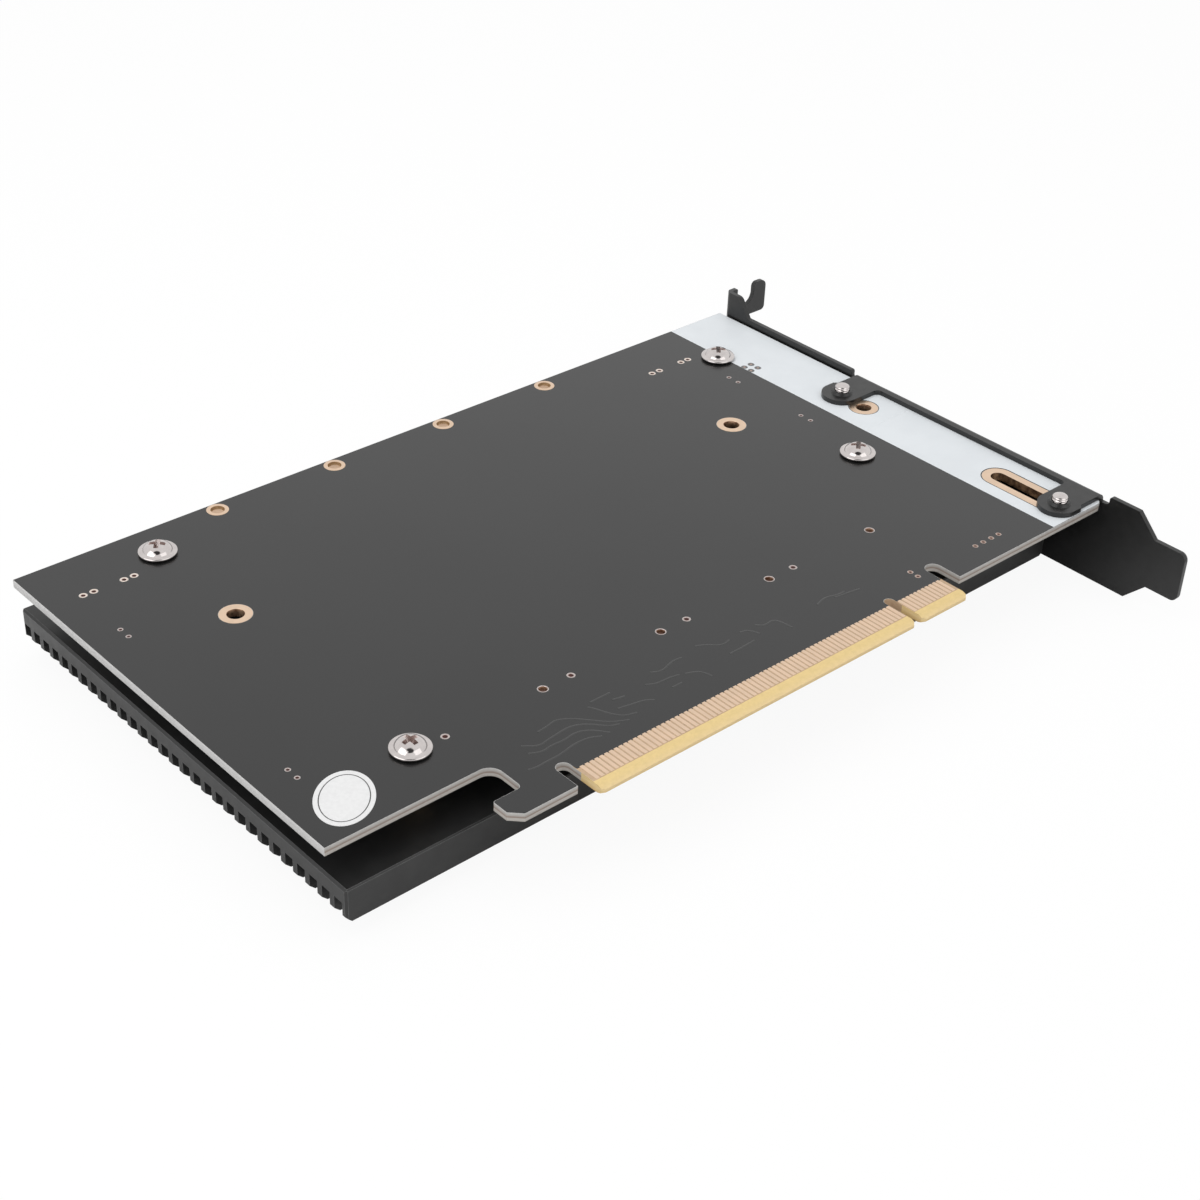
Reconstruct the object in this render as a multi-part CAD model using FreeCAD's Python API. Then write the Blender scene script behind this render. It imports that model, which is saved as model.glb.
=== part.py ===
import FreeCAD, Part
import math
import os
from FreeCAD import Vector

# Expansion card that carries four solid-state drives under one finned heatsink.
# Frame: millimetres. The origin is where the key notch meets the tip of the edge
# connector, at half the board's thickness. +X runs along the connector towards the
# bracket, +Y from the connector tip to the far edge, +Z out of the solder side.

# Drive bays
bay_count = 4
bay_pitch = 26.0
first_bay_x = -73.05
socket_line = 25.2
drive_length = 79.27
drive_thickness = 0.8
drive_chip_height = 1.5
standoff_y = socket_line + drive_length
bay_centres = [first_bay_x + i * bay_pitch for i in range(bay_count)]

# Circuit board: it ends just past the drives' standoffs
board_thickness = 1.6
board_left = -113.1
board_right = 56.9
standoff_to_edge = 2.18
board_far = standoff_y + standoff_to_edge
board_front_left = 15.25
board_shoulder = 4.6
board_corner_radius = 1.5
solder_side = board_thickness / 2
component_side = -board_thickness / 2

# Edge connector
contact_pitch = 1.0
contact_width = 0.7
contact_count_short = 11
contact_count_long = 71
first_contact = 1.5
end_contact_margin = 1.1
contact_start = 2.3
contact_end = 6.15
contact_plating = 0.05
key_notch_width = 1.9
key_notch_depth = 8.03
bevel_length = 1.3
bevel_depth = 0.47
tongue_corner = 0.6
tongue_right = first_contact + (contact_count_short - 1) * contact_pitch + end_contact_margin
tongue_left = -(first_contact + (contact_count_long - 1) * contact_pitch + end_contact_margin)

# Relief slots and the retention hook beside the connector
right_slot_width = 3.2
right_slot_depth = 10.8
left_slot_width = 2.5
left_slot_depth = 8.9
hook_tip = 2.9
hook_length = 12.4
hook_top = 8.1
hook_chamfer = 1.95
hook_corner = 0.4
recess_width = 6.7
recess_radius = 2.45
recess_root_radius = 0.95

# Drive socket: the socket line runs through the centre of its locating pegs
socket_width = 21.9
socket_back = 4.6
socket_front = 4.1
socket_height = 4.2
socket_edge = 0.4
socket_mouth_width = 20.0
socket_mouth_height = 0.95
socket_mouth_depth = 4.6
socket_lip = 1.5
socket_key_offset = 5.9
socket_key_width = 1.1
drive_seat_height = 2.45

# Threaded standoff at the free end of each drive
standoff_diameter = 5.0
standoff_shank = 3.4
standoff_thread = 2.0
standoff_fit = 0.05
standoff_proud = 0.05

# Bracket, folded from one sheet
sheet = 1.0
bracket_inner_x = 57.3
bracket_outer_x = bracket_inner_x + sheet
bracket_height = 120.02
bracket_width = 18.7
bracket_solder_edge = 2.15
bracket_component_edge = bracket_solder_edge - bracket_width
flange_seat = 104.74
bracket_top = flange_seat + sheet
bracket_tip = bracket_top - bracket_height
bend_inner_radius = bracket_inner_x - board_right
bend_outer_radius = bend_inner_radius + sheet
tip_width = 10.19
tip_radius = 1.5
tip_centre_z = (bracket_solder_edge + bracket_component_edge) / 2

# Top flange with its open screw slot
flange_depth = 11.43
flange_shelf_depth = 5.9
flange_top_z = 6.2
flange_finger_z = -0.95
screw_slot_width = 5.0
screw_slot_from_plate = 5.3
screw_slot_bottom = 1.5
finger_radius = 1.5
finger_low_radius = 1.0
prong_radius = 1.0
slot_lip_radius = 0.3
ear_start = 98.7
ear_rise = 2.7
ear_radius = 1.5

# Tabs that hold the bracket to the board; the fold behind them is set back at each end
tab_width = 7.7
tab_overreach = 0.35
near_tab_x = 48.85
near_tab_y = 8.7
far_tab_x = 49.3
far_tab_y = 63.85
tab_holes = [(near_tab_x, near_tab_y), (far_tab_x, far_tab_y)]
tab_root = 2.3
fold_set_back = 0.65
lip_x = 55.8
lip_corner_radius = 1.1
near_relief_width = 1.35
far_relief_width = 0.8
relief_depth = 1.8
relief_radius = 0.45
relief_root_radius = 0.9

# The tip and its taper take shares of the plate's length beyond the near tab
tip_share = 0.386
taper_share = 0.24
near_shoulder_y = near_tab_y - tab_width / 2 - near_relief_width
taper_low = bracket_tip + (near_shoulder_y - bracket_tip) * tip_share
taper_high = taper_low + (near_shoulder_y - bracket_tip) * taper_share

# Collars round the tab screws
collar_diameter = 4.5
collar_top_diameter = 3.9
collar_height = 0.55

# Screws: the heatsink's have a flange under the head
screw_diameter = 3.0
clearance_hole = 3.2
thread_gap = 0.04
head_diameter = 5.6
head_height = 2.4
flange_diameter = 7.0
flange_thickness = 0.7
recess_arm = 2.6
recess_arm_width = 0.75
recess_depth = 1.0
tab_screw_tip = 1.25
tab_screw_tip_bevel = 0.5
heatsink_screw_reach = 4.0
heatsink_screws = [(41.4, 91.5), (34.1, 45.6), (-89.3, 98.5), (-89.3, 25.85)]

# Heatsink: an extrusion whose fins run along X
heatsink_left = -111.4
heatsink_right = 52.7
heatsink_near = 12.8
heatsink_overhang = 1.8
board_to_heatsink = 6.0
heatsink_thickness = 6.3
groove_depth = 3.4
groove_width = 2.0
fin_pitch = 3.18
near_wall = 1.05
far_wall = 0.45
end_bevel = 0.4
side_bevel = 0.25
fin_end_bevel = 1.0
heatsink_top = component_side - board_to_heatsink
heatsink_bottom = heatsink_top - heatsink_thickness
groove_count = int((board_far + heatsink_overhang - heatsink_near) / fin_pitch)
heatsink_far = heatsink_near + near_wall + (groove_count - 1) * fin_pitch + groove_width + far_wall

# Hexagonal pillars between the heatsink and the board
pillar_across_flats = 5.5

# Thermal pads on the heatsink, one over each drive
pad_width = 20.0
pad_length = 68.0
pad_near = 31.5
pad_thickness = board_to_heatsink - drive_seat_height - drive_thickness - drive_chip_height

# Open holes for earthing and for other brackets, and the long hole under the near tab
open_holes = [(23.3, 69.2), (-89.3, 74.1), (49.3, 57.8)]
long_hole_end_y = 22.85

# Power parts and chips on the component side
inductor_side = 7.0
inductor_height = 3.0
inductor_corner = 1.0
inductor_x = 25.0
power_stage_y = [17.0, 29.0, 55.0, 81.0]
regulator_side = 3.5
regulator_height = 0.9
regulator_x = 31.6
bulk_size = (4.3, 7.3, 2.8)
bulk_edge = 0.3
bulk_positions = [(43.5, 22.0), (43.5, 32.0), (43.5, 75.0)]
clock_side = 5.0
clock_height = 0.9
clock_position = (-34.05, 15.5)
chip_edge = 0.12
coupling_size = (0.5, 1.0, 0.5)
coupling_count = 32
coupling_first_x = -69.5
coupling_pitch = 2.0
coupling_y = 9.6
smoothing_size = (1.25, 2.0, 1.2)
smoothing_from_bay = 13.0
smoothing_y = [33.0, 36.5, 40.0]
lamp_size = (0.8, 1.6, 0.6)
lamp_x = 54.6
lamp_count = 4
lamp_pitch = 4.0
lamp_to_far_edge = 16.65
lamp_y = [board_far - lamp_to_far_edge - i * lamp_pitch for i in range(lamp_count)]

# Paper inspection label
label_centre = (-104.0, 22.8)
label_length = 13.2
label_width = 9.4
label_angle = 47.0
label_thickness = 0.1

# How far a cutting solid reaches past the face it cuts
cut_past = 1.0

os.makedirs("parts", exist_ok=True)


def on_plane(plane, u, v, w):
    if plane == "XY":
        return Vector(u, v, w)
    if plane == "XZ":
        return Vector(u, w, v)
    return Vector(w, u, v)


def rounded_wire(corners, plane="XY", level=0.0):
    # Closed outline through corners given as (u, v) or (u, v, radius).
    flat = [Vector(c[0], c[1], 0) for c in corners]
    radii = [c[2] if len(c) > 2 else 0.0 for c in corners]
    stops = []
    for i, here in enumerate(flat):
        if radii[i] == 0:
            stops.append((here, None, here))
            continue
        back = (flat[i - 1] - here).normalize()
        ahead = (flat[(i + 1) % len(flat)] - here).normalize()
        half = back.getAngle(ahead) / 2
        inward = (back + ahead).normalize()
        centre = here + inward * (radii[i] / math.sin(half))
        setback = radii[i] / math.tan(half)
        stops.append((here + back * setback, centre - inward * radii[i], here + ahead * setback))
    edges = []
    for i, (start, middle, end) in enumerate(stops):
        if middle is not None:
            arc = [on_plane(plane, p.x, p.y, level) for p in (start, middle, end)]
            edges.append(Part.Arc(*arc).toShape())
        following = stops[(i + 1) % len(stops)][0]
        if (following - end).Length > 1e-6:
            line = [on_plane(plane, p.x, p.y, level) for p in (end, following)]
            edges.append(Part.LineSegment(*line).toShape())
    return Part.Wire(Part.__sortEdges__(edges))


def prism(corners, low, high, plane="XY"):
    face = Part.Face(rounded_wire(corners, plane, low))
    return face.extrude(on_plane(plane, 0, 0, high - low))


def block(x0, x1, y0, y1, z0, z1):
    return Part.makeBox(x1 - x0, y1 - y0, z1 - z0, Vector(x0, y0, z0))


def centred_block(x, y, size_x, size_y, z0, z1):
    return block(x - size_x / 2, x + size_x / 2, y - size_y / 2, y + size_y / 2, z0, z1)


def disc(x, y, z0, z1, diameter):
    return Part.makeCylinder(diameter / 2, z1 - z0, Vector(x, y, z0))


def upright_edges(shape):
    straight = [e for e in shape.Edges if e.Curve.TypeId == "Part::GeomLine"]
    return [e for e in straight if abs(e.tangentAt(e.FirstParameter).z) > 0.99]


def round_edges(shape):
    return [e for e in shape.Edges if e.Curve.TypeId == "Part::GeomCircle"]


def save(shape, name):
    shape.exportStep("parts/" + name + ".step")
    print(name, len(shape.Solids), "solids,", round(shape.Volume, 1), "mm3")


def group(solids):
    return Part.makeCompound(solids)


def long_disc(x, y0, y1, z0, z1, diameter):
    # As disc, but drawn out along Y between the centres y0 and y1.
    radius = diameter / 2
    corners = [
        (x - radius, y0 - radius, radius),
        (x + radius, y0 - radius, radius),
        (x + radius, y1 + radius, radius),
        (x - radius, y1 + radius, radius),
    ]
    return prism(corners, z0, z1)


# Circuit board
def board_outline():
    half_key = key_notch_width / 2
    slot_right = tongue_right + right_slot_width
    slot_left = tongue_left - left_slot_width
    hook_left = slot_left - hook_length
    recess_right = slot_left - recess_width
    return [
        (board_left, board_far),
        (board_left, board_front_left),
        (recess_right, board_front_left, recess_radius),
        (recess_right, hook_top, recess_root_radius),
        (hook_left, hook_top, hook_corner),
        (hook_left, hook_tip + hook_chamfer),
        (hook_left + hook_chamfer, hook_tip),
        (slot_left, hook_tip),
        (slot_left, left_slot_depth, left_slot_width / 2),
        (tongue_left, left_slot_depth, left_slot_width / 2),
        (tongue_left, tongue_corner),
        (tongue_left + tongue_corner, 0),
        (-half_key - tongue_corner, 0),
        (-half_key, tongue_corner),
        (-half_key, key_notch_depth, half_key),
        (half_key, key_notch_depth, half_key),
        (half_key, tongue_corner),
        (half_key + tongue_corner, 0),
        (tongue_right - tongue_corner, 0),
        (tongue_right, tongue_corner),
        (tongue_right, right_slot_depth, right_slot_width / 2),
        (slot_right, right_slot_depth, right_slot_width / 2),
        (slot_right, board_shoulder),
        (board_right, board_shoulder, board_corner_radius),
        (board_right, board_far),
    ]


def through(x, y, diameter):
    return disc(x, y, component_side - cut_past, solder_side + cut_past, diameter)


def make_board():
    board = prism(board_outline(), component_side, solder_side)
    cuts = []
    for side in (1, -1):
        face_z = side * solder_side
        outside = face_z + side * cut_past
        tip_z = face_z - side * bevel_depth
        wedge = [
            (-cut_past, outside),
            (bevel_length, outside),
            (bevel_length, face_z),
            (0, tip_z),
            (-cut_past, tip_z),
        ]
        cuts.append(prism(wedge, tongue_left - cut_past, tongue_right + cut_past, "YZ"))
    for x, y in heatsink_screws + open_holes + [(far_tab_x, far_tab_y)]:
        cuts.append(through(x, y, clearance_hole))
    cuts.append(long_disc(near_tab_x, near_tab_y, long_hole_end_y, component_side - cut_past,
                          solder_side + cut_past, clearance_hole))
    for x in bay_centres:
        cuts.append(through(x, standoff_y, standoff_shank + 2 * standoff_fit))
    return board.cut(cuts)


def make_contacts(z0, z1):
    centres = [first_contact + i * contact_pitch for i in range(contact_count_short)]
    centres += [-first_contact - i * contact_pitch for i in range(contact_count_long)]
    half = contact_width / 2
    return group([block(x - half, x + half, contact_start, contact_end, z0, z1) for x in centres])


# Bracket
def make_bracket():
    near_low = near_tab_y - tab_width / 2
    near_high = near_tab_y + tab_width / 2
    far_low = far_tab_y - tab_width / 2
    far_high = far_tab_y + tab_width / 2
    fold_low = near_low + fold_set_back
    fold_high = far_high - fold_set_back
    fold_z = solder_side - bend_inner_radius
    fold_y = flange_seat - bend_inner_radius
    tip_solder = tip_centre_z + tip_width / 2
    tip_component = tip_centre_z - tip_width / 2
    relief_z = bracket_solder_edge - relief_depth
    plate = prism([
        (fold_y, bracket_component_edge),
        (taper_high, bracket_component_edge),
        (taper_low, tip_component),
        (bracket_tip, tip_component, tip_radius),
        (bracket_tip, tip_solder, tip_radius),
        (taper_low, tip_solder),
        (taper_high, bracket_solder_edge),
        (near_shoulder_y, bracket_solder_edge, relief_radius),
        (near_shoulder_y, relief_z, relief_root_radius),
        (fold_low, relief_z),
        (fold_low, fold_z),
        (fold_high, fold_z),
        (fold_high, relief_z),
        (far_high + far_relief_width, relief_z, relief_root_radius),
        (far_high + far_relief_width, bracket_solder_edge, relief_radius),
        (ear_start, bracket_solder_edge, relief_radius),
        (ear_start + ear_rise, flange_top_z, ear_radius),
        (fold_y, flange_top_z),
    ], bracket_inner_x, bracket_outer_x, "YZ")

    # Fold along the board: plate edge turned over the solder side
    fold = prism([
        (bracket_inner_x, fold_z),
        (bracket_outer_x, fold_z),
        (bracket_outer_x, solder_side + sheet, bend_outer_radius),
        (board_right, solder_side + sheet),
        (board_right, solder_side),
        (bracket_inner_x, solder_side, bend_inner_radius),
    ], fold_low, fold_high, "XZ")
    near_end_x = near_tab_x - tab_overreach - tab_width / 2
    far_end_x = far_tab_x - tab_overreach - tab_width / 2
    near_root_x = near_tab_x + tab_root
    far_root_x = far_tab_x + tab_root
    tabs = prism([
        (board_right, fold_low),
        (near_root_x, fold_low),
        (near_root_x - fold_set_back, near_low),
        (near_end_x, near_low, tab_width / 2),
        (near_end_x, near_high, tab_width / 2),
        (lip_x, near_high, lip_corner_radius),
        (lip_x, far_low, lip_corner_radius),
        (far_end_x, far_low, tab_width / 2),
        (far_end_x, far_high, tab_width / 2),
        (far_root_x - fold_set_back, far_high),
        (far_root_x, fold_high),
        (board_right, fold_high),
    ], solder_side, solder_side + sheet)

    # Fold at the top, then the flange that the chassis screw holds
    flange_fold = prism([
        (bracket_inner_x, fold_y),
        (bracket_inner_x, bracket_top, bend_outer_radius),
        (bracket_outer_x + bend_inner_radius, bracket_top),
        (bracket_outer_x + bend_inner_radius, flange_seat),
        (bracket_outer_x, flange_seat, bend_inner_radius),
        (bracket_outer_x, fold_y),
    ], bracket_component_edge, flange_top_z)
    shelf_x = bracket_inner_x + flange_shelf_depth
    end_x = bracket_inner_x + flange_depth
    slot_x = bracket_inner_x + screw_slot_from_plate
    slot_left = slot_x - screw_slot_width / 2
    slot_right = slot_x + screw_slot_width / 2
    flange = prism([
        (bracket_outer_x + bend_inner_radius, bracket_component_edge),
        (shelf_x, bracket_component_edge, finger_radius),
        (shelf_x, flange_finger_z, finger_low_radius / 2),
        (end_x, flange_finger_z, finger_low_radius),
        (end_x, flange_top_z, finger_radius),
        (slot_right, flange_top_z, prong_radius),
        (slot_right, screw_slot_bottom, screw_slot_width / 2),
        (slot_left, screw_slot_bottom, screw_slot_width / 2),
        (slot_left, flange_top_z, slot_lip_radius),
        (bracket_outer_x + bend_inner_radius, flange_top_z),
    ], flange_seat, bracket_top, "XZ")

    bracket = plate.fuse([fold, tabs, flange_fold, flange]).removeSplitter()
    collars = []
    bores = []
    for x, y in tab_holes:
        top = solder_side + sheet
        collars.append(Part.makeCone(collar_diameter / 2, collar_top_diameter / 2, collar_height,
                                     Vector(x, y, top)))
        bores.append(disc(x, y, solder_side - cut_past, top + collar_height + cut_past,
                          screw_diameter + 2 * thread_gap))
    return bracket.fuse(collars).removeSplitter().cut(bores)


# Screws
def cross_recess(x, y, low, high):
    along = centred_block(x, y, recess_arm, recess_arm_width, low, high)
    return along.fuse(centred_block(x, y, recess_arm_width, recess_arm, low, high))


def make_heatsink_screw(x, y):
    head_top = solder_side + head_height
    flange = disc(x, y, solder_side, solder_side + flange_thickness, flange_diameter)
    head = disc(x, y, solder_side, head_top, head_diameter)
    shank = disc(x, y, component_side - heatsink_screw_reach, solder_side, screw_diameter)
    return head.fuse([flange, shank]).cut(cross_recess(x, y, head_top - recess_depth, head_top))


def make_tab_screw(x, y):
    head_top = component_side - head_height
    tip = solder_side + sheet + collar_height + tab_screw_tip
    head = disc(x, y, head_top, component_side, head_diameter)
    shank = disc(x, y, component_side, tip, screw_diameter)
    rim = [e for e in round_edges(shank) if e.Vertexes[0].Z > solder_side]
    shank = shank.makeChamfer(tab_screw_tip_bevel, rim)
    return head.fuse(shank).cut(cross_recess(x, y, head_top, head_top + recess_depth))


# Heatsink
def make_heatsink():
    groove_top = heatsink_bottom + groove_depth
    corners = [(heatsink_near, heatsink_top - side_bevel), (heatsink_near, heatsink_bottom)]
    for i in range(groove_count):
        start = heatsink_near + near_wall + i * fin_pitch
        end = start + groove_width
        corners += [(start, heatsink_bottom), (start, groove_top), (end, groove_top), (end, heatsink_bottom)]
    corners += [
        (heatsink_far, heatsink_bottom),
        (heatsink_far, heatsink_top - side_bevel),
        (heatsink_far - side_bevel, heatsink_top),
        (heatsink_near + side_bevel, heatsink_top),
    ]
    extrusion = prism(corners, heatsink_left, heatsink_right, "YZ")

    # Saw-cut ends are bevelled above and below, and the tall corners broken
    cuts = []
    for end_x, inward in ((heatsink_left, 1), (heatsink_right, -1)):
        for z, size, into in ((heatsink_top, end_bevel, -1), (heatsink_bottom, fin_end_bevel, 1)):
            wedge = corner_wedge(end_x, inward, z, into, size)
            cuts.append(prism(wedge, heatsink_near - cut_past, heatsink_far + cut_past, "XZ"))
        for y, into in ((heatsink_near, 1), (heatsink_far, -1)):
            wedge = corner_wedge(end_x, inward, y, into, end_bevel)
            cuts.append(prism(wedge, heatsink_bottom - cut_past, heatsink_top + cut_past))
    return extrusion.cut(cuts)


def corner_wedge(u, into_u, v, into_v, size):
    # Outline that bevels the corner (u, v); into_u and into_v point into the solid.
    return [
        (u, v + into_v * size),
        (u + into_u * size, v),
        (u + into_u * size, v - into_v * cut_past),
        (u - into_u * cut_past, v - into_v * cut_past),
        (u - into_u * cut_past, v + into_v * size),
    ]


def make_pillar(x, y):
    across_corners = pillar_across_flats / math.cos(math.pi / 6)
    corners = []
    for i in range(6):
        angle = i * math.pi / 3
        corners.append((x + across_corners / 2 * math.cos(angle), y + across_corners / 2 * math.sin(angle)))
    body = prism(corners, heatsink_top, component_side)
    bore_low = component_side - heatsink_screw_reach - cut_past / 2
    return body.cut(disc(x, y, bore_low, component_side + cut_past, screw_diameter + 2 * thread_gap))


def make_thermal_pad(x):
    return block(x - pad_width / 2, x + pad_width / 2, pad_near, pad_near + pad_length,
                 heatsink_top, heatsink_top + pad_thickness)


# Drive sockets
def make_socket(x):
    back = socket_line - socket_back
    front = socket_line + socket_front
    low = component_side - socket_height
    profile = [
        (back, component_side),
        (back, low + socket_edge),
        (back + socket_edge, low),
        (front - socket_edge, low),
        (front, low + socket_edge),
        (front, component_side),
    ]
    body = prism(profile, x - socket_width / 2, x + socket_width / 2, "YZ")

    # Mouth at the drive's height, with its key, and the lead-in that lets the drive tilt
    mouth_top = component_side - drive_seat_height + (socket_mouth_height - drive_thickness) / 2
    mouth_low = mouth_top - socket_mouth_height
    mouth_back = front - socket_mouth_depth
    mouth = centred_block(x, (mouth_back + front + cut_past) / 2, socket_mouth_width,
                          socket_mouth_depth + cut_past, mouth_low, mouth_top)
    key = centred_block(x + socket_key_offset, (mouth_back + front) / 2, socket_key_width,
                        socket_mouth_depth, mouth_low, mouth_top)
    entry = centred_block(x, front, socket_mouth_width - 2 * socket_lip, 2 * socket_lip,
                          low - cut_past, mouth_low)
    return body.cut([mouth.cut(key), entry])


def make_standoff(x):
    seat = component_side - drive_seat_height
    body = disc(x, standoff_y, seat, component_side, standoff_diameter)
    shank = disc(x, standoff_y, component_side, solder_side + standoff_proud, standoff_shank)
    bore = disc(x, standoff_y, seat - cut_past, solder_side + cut_past, standoff_thread)
    return body.fuse(shank).cut(bore)


# Parts on the component side
def low_edges(shape):
    lowest = shape.BoundBox.ZMin
    return [e for e in shape.Edges if e.BoundBox.ZMax < lowest + 0.001]


def make_inductor(x, y):
    body = make_small_part(x, y, (inductor_side, inductor_side, inductor_height))
    return body.makeChamfer(inductor_corner, upright_edges(body))


def make_chip(x, y, side, height):
    body = make_small_part(x, y, (side, side, height))
    return body.makeChamfer(chip_edge, low_edges(body))


def make_bulk_capacitor(x, y):
    body = make_small_part(x, y, bulk_size)
    return body.makeChamfer(bulk_edge, low_edges(body))


def make_small_part(x, y, size):
    return centred_block(x, y, size[0], size[1], component_side - size[2], component_side)


def make_label():
    ellipse = Part.Ellipse(Vector(0, 0, 0), label_length / 2, label_width / 2)
    face = Part.Face(Part.Wire(ellipse.toShape()))
    label = face.extrude(Vector(0, 0, label_thickness))
    label.rotate(Vector(0, 0, 0), Vector(0, 0, 1), label_angle)
    label.translate(Vector(label_centre[0], label_centre[1], solder_side))
    return label


save(make_board(), "circuit_board")
save(make_contacts(solder_side, solder_side + contact_plating), "contacts_solder_side")
save(make_contacts(component_side - contact_plating, component_side), "contacts_component_side")
save(make_bracket(), "bracket")
save(group([make_tab_screw(x, y) for x, y in tab_holes]), "bracket_screws")
save(make_heatsink(), "heatsink")
save(group([make_heatsink_screw(x, y) for x, y in heatsink_screws]), "heatsink_screws")
save(group([make_pillar(x, y) for x, y in heatsink_screws]), "heatsink_pillars")
for number, centre in enumerate(bay_centres, 1):
    save(make_socket(centre), "drive_socket_%d" % number)
    save(make_standoff(centre), "drive_standoff_%d" % number)
    save(make_thermal_pad(centre), "thermal_pad_%d" % number)
save(group([make_inductor(inductor_x, y) for y in power_stage_y]), "power_inductors")
regulators = [make_chip(regulator_x, y, regulator_side, regulator_height) for y in power_stage_y]
save(group(regulators), "power_regulators")
save(group([make_bulk_capacitor(x, y) for x, y in bulk_positions]), "bulk_capacitors")
save(make_chip(clock_position[0], clock_position[1], clock_side, clock_height), "clock_chip")
save(group([make_small_part(coupling_first_x + i * coupling_pitch, coupling_y, coupling_size)
            for i in range(coupling_count)]), "coupling_capacitors")
save(group([make_small_part(x + smoothing_from_bay, y, smoothing_size)
            for x in bay_centres for y in smoothing_y]), "smoothing_capacitors")
save(group([make_small_part(lamp_x, y, lamp_size) for y in lamp_y]), "indicator_lamps")
save(make_label(), "inspection_label")
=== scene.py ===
import bpy
import bmesh
import math
from mathutils import Matrix, Vector
from mathutils.geometry import delaunay_2d_cdt


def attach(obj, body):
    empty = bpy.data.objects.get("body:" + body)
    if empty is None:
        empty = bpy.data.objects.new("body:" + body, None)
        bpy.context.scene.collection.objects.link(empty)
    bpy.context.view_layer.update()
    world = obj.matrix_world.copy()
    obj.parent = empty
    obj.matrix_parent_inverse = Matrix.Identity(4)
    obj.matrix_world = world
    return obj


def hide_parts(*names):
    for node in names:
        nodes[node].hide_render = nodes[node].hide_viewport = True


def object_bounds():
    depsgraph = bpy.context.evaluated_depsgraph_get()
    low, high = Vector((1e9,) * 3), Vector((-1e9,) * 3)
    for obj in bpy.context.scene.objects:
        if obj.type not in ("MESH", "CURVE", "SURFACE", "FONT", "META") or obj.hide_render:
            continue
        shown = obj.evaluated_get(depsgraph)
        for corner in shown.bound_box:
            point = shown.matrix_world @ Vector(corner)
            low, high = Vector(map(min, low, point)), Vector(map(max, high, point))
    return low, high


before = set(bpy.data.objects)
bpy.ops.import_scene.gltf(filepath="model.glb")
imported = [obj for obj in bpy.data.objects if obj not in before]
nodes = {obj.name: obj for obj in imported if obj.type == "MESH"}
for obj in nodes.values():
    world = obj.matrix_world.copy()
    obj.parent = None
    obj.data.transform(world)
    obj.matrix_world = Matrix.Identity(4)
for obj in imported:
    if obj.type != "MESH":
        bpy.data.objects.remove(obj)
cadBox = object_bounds()
print("frame loaded:", len(nodes), "nodes")

mm = 0.001  # every size below is in millimetres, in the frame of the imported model
boardHalf = 0.8  # half of the circuit board's thickness
squareCorners = ((-1, -1), (1, -1), (1, 1), (-1, 1))


# materials: all patterns are laid out in the part's own millimetres, so they stay put on the part
def fill(node, inputs):
    # each input takes a value, or a link from another node's socket
    for key, value in inputs.items():
        if isinstance(value, bpy.types.NodeSocket):
            node.id_data.links.new(value, node.inputs[key])
        else:
            node.inputs[key].default_value = value


def nodeOf(tree, kind, inputs=None, **settings):
    node = tree.nodes.new(kind)
    for key, value in settings.items():
        setattr(node, key, value)
    fill(node, inputs or {})
    return node


def noiseOn(tree, scale, detail, stretch=(1, 1, 1), roughness=0.5):
    where = nodeOf(tree, "ShaderNodeTexCoord").outputs["Object"]
    fit = nodeOf(tree, "ShaderNodeMapping", {"Vector": where, "Scale": [s / mm for s in stretch]})
    return nodeOf(tree, "ShaderNodeTexNoise", {"Vector": fit.outputs["Vector"], "Scale": scale, "Detail": detail,
                                               "Roughness": roughness}).outputs["Fac"]


def ramp(tree, source, stops):
    # stops are (place, colour), where a bare number is a grey
    node = nodeOf(tree, "ShaderNodeValToRGB", {"Fac": source})
    node.color_ramp.interpolation = "EASE"
    while len(node.color_ramp.elements) < len(stops):
        node.color_ramp.elements.new(0.5)
    for element, (place, colour) in zip(node.color_ramp.elements, stops):
        element.position = place
        element.color = (*colour, 1) if isinstance(colour, tuple) else (colour, colour, colour, 1)
    return node.outputs["Color"]


def addBump(tree, surface, height, distance, strength=0.6):
    bumps = nodeOf(tree, "ShaderNodeBump", {"Height": height, "Strength": strength, "Distance": distance * mm})
    fill(surface, {"Normal": bumps.outputs["Normal"]})


def newMaterial(name):
    material = bpy.data.materials.new(name)
    material.use_nodes = True
    return material, material.node_tree, material.node_tree.nodes["Principled BSDF"]


def makeMaterial(name, dark, light, scale, rough, roughScale=0.6, metal=0.0, bump=0.006, bumpScale=3.0,
                 stretch=(1, 1, 1), specular=0.5):
    # a cloudy tone between two colours, with uneven gloss and a fine bump
    material, tree, surface = newMaterial(name)
    tone = noiseOn(tree, scale, detail=4.0)
    cloud = noiseOn(tree, roughScale, stretch=stretch, detail=5.0)
    fill(surface, {"Metallic": metal, "Specular IOR Level": specular,
                   "Base Color": ramp(tree, tone, [(0.3, dark), (0.7, light)]),
                   "Roughness": ramp(tree, cloud, [(0.3, rough[0]), (0.7, rough[1])])})
    if bump:
        addBump(tree, surface, noiseOn(tree, bumpScale, stretch=stretch, detail=6.0, roughness=0.6), bump)
    return material


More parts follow.
